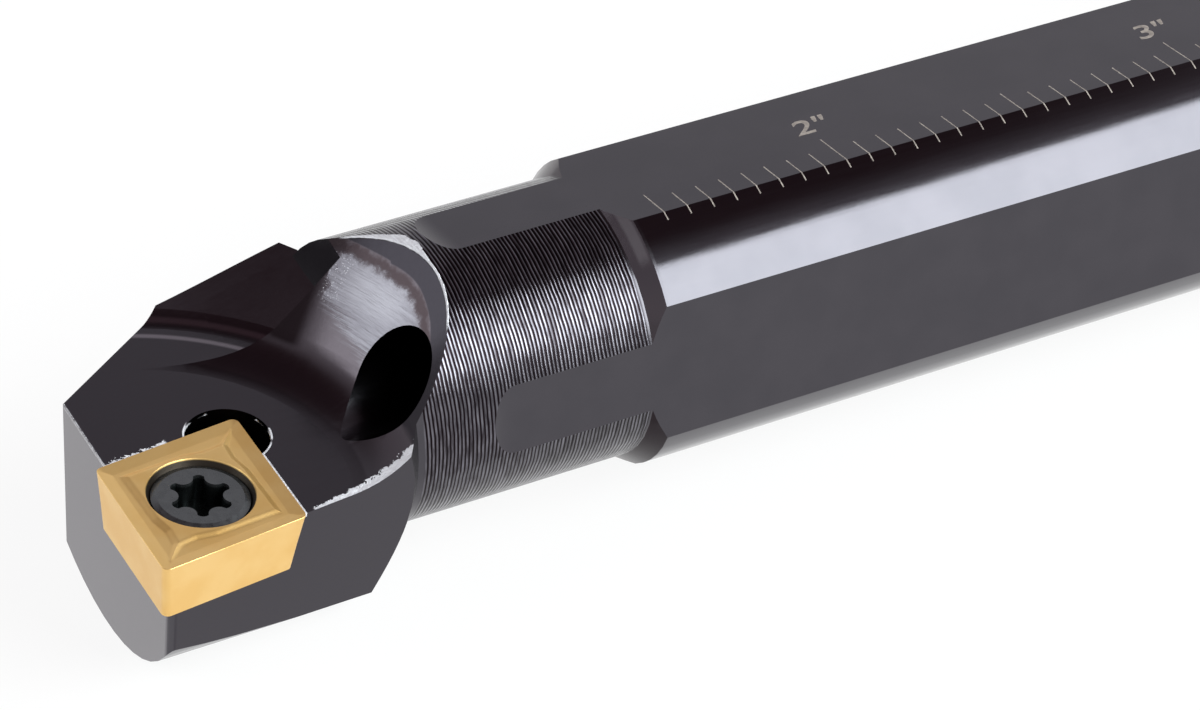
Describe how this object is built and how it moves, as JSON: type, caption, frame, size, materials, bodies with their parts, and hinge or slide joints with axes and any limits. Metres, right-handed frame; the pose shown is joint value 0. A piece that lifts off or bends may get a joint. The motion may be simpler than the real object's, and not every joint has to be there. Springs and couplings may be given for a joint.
{
  "type": "boring bar",
  "caption": "Round steel bar with a flatted shank, turned neck and an eccentric head that carries a screwed-on rhombic cutting insert, for turning inside bores.",
  "frame": {"origin": "centre of the bar's rear end face, on the bar's axis, at the mouth of the coolant port", "axes": "+X along the bar's axis out of the rear end, so the cutting head is at -X; +Z out of the top flat that carries the depth scale; the cutting corner looks towards -Y"},
  "size_m": [0.254, 0.0221, 0.0198],
  "materials": {
    "bar_body": "dark oxide, satin, worn bright at the edges",
    "insert": "gold-coloured hard coating, satin",
    "insert_screw": "black oxide, semi-gloss"
  },
  "bodies": {
    "root": {"bar_body": "bar_body", "insert": "insert", "insert_screw": "insert_screw"}
  },
  "joints": []
}
